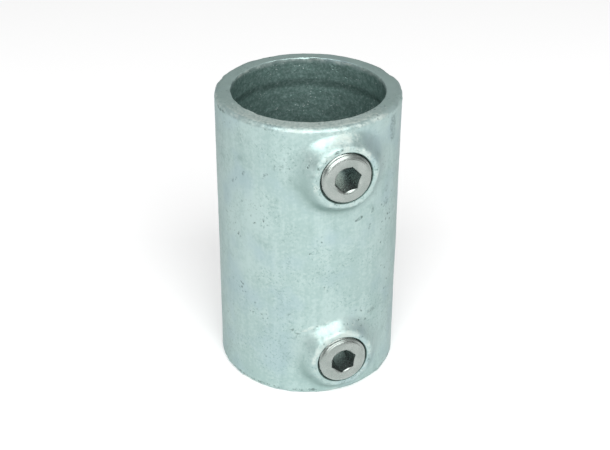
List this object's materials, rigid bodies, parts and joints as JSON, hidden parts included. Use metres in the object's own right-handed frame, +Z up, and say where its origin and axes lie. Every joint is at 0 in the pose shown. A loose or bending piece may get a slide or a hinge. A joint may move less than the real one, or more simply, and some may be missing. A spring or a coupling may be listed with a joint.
{
  "type": "scaffold tube coupling",
  "caption": "Straight cast sleeve that joins two scaffold tubes end to end, each tube gripped by a hexagon socket set screw in a raised boss.",
  "frame": {"origin": "on the bore's axis, in the plane of the lower rim", "axes": "+Z up along the bore; both set screws face -Y"},
  "size_m": [0.061, 0.066, 0.101],
  "materials": {
    "galvanised_casting": "hot-dip galvanised over a sand-cast surface, pale blue-grey, satin and mottled",
    "set_screw_steel": "bright turned steel, semi-gloss"
  },
  "bodies": {
    "sleeve": {"sleeve_casting": "galvanised_casting"},
    "lower_screw": {"lower_set_screw": "set_screw_steel"},
    "upper_screw": {"upper_set_screw": "set_screw_steel"}
  },
  "joints": [
    {"name": "lower_screw_travel", "type": "slide", "parent": "sleeve", "child": "lower_screw", "axis": [0, -1, 0], "range_m": [-0.00134, 0.00668]},
    {"name": "upper_screw_travel", "type": "slide", "parent": "sleeve", "child": "upper_screw", "axis": [0, -1, 0], "range_m": [-0.00134, 0.00668]}
  ]
}
